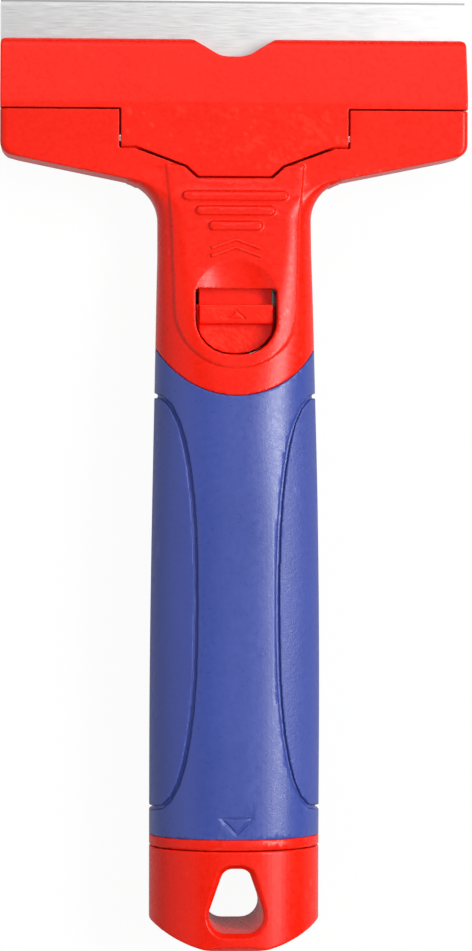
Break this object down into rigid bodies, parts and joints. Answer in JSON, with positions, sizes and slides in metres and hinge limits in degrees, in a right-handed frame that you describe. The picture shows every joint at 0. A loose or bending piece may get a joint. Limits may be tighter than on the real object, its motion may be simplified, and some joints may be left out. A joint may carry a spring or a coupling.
{
  "type": "razor blade scraper",
  "caption": "Hand scraper with a wide razor blade under a hinged clamp cover, a thumb slide in the neck, a soft hollow grip and a pull-off end cap with a hang hole.",
  "frame": {"origin": "centre of the footprint of the tool lying on its back, on the surface that it lies on", "axes": "+Y towards the cutting edge, +X to the right seen from the front, +Z out of the front face"},
  "size_m": [0.1, 0.2026, 0.0262],
  "materials": {
    "red_plastic": "fine satin texture",
    "blue_grip": "soft matte",
    "blade_steel": "brushed along the edge",
    "pin_steel": "drawn wire"
  },
  "bodies": {
    "root": {"body": "red_plastic", "grip": "blue_grip", "blade": "blade_steel", "hinge_pin": "pin_steel", "return_springs": "pin_steel", "slider_backplate": "red_plastic", "spare_blades": "blade_steel"},
    "cover": {"blade_cover": "red_plastic"},
    "slider": {"lock_slider": "red_plastic", "cam_pin": "pin_steel", "spring_shield": "red_plastic"},
    "cap": {"end_cap": "red_plastic"}
  },
  "joints": [
    {"name": "cover_hinge", "type": "hinge", "parent": "root", "child": "cover", "pos_m": [0, 0.07125, 0.0112], "axis": [1, 0, 0], "range_deg": [0, 18], "stiffness_Nm_per_rad": 0.0365},
    {"name": "slider_slide", "type": "slide", "parent": "root", "child": "slider", "axis": [0, 1, 0], "range_m": [0, 0.003], "deforming": ["return_springs"]},
    {"name": "cap_pull", "type": "slide", "parent": "root", "child": "cap", "axis": [0, -1, 0], "range_m": [0, 0.012]}
  ],
  "couplings": [
    {"joint": "slider_slide", "follows": "cover_hinge", "m_per_rad": 0.009549}
  ]
}
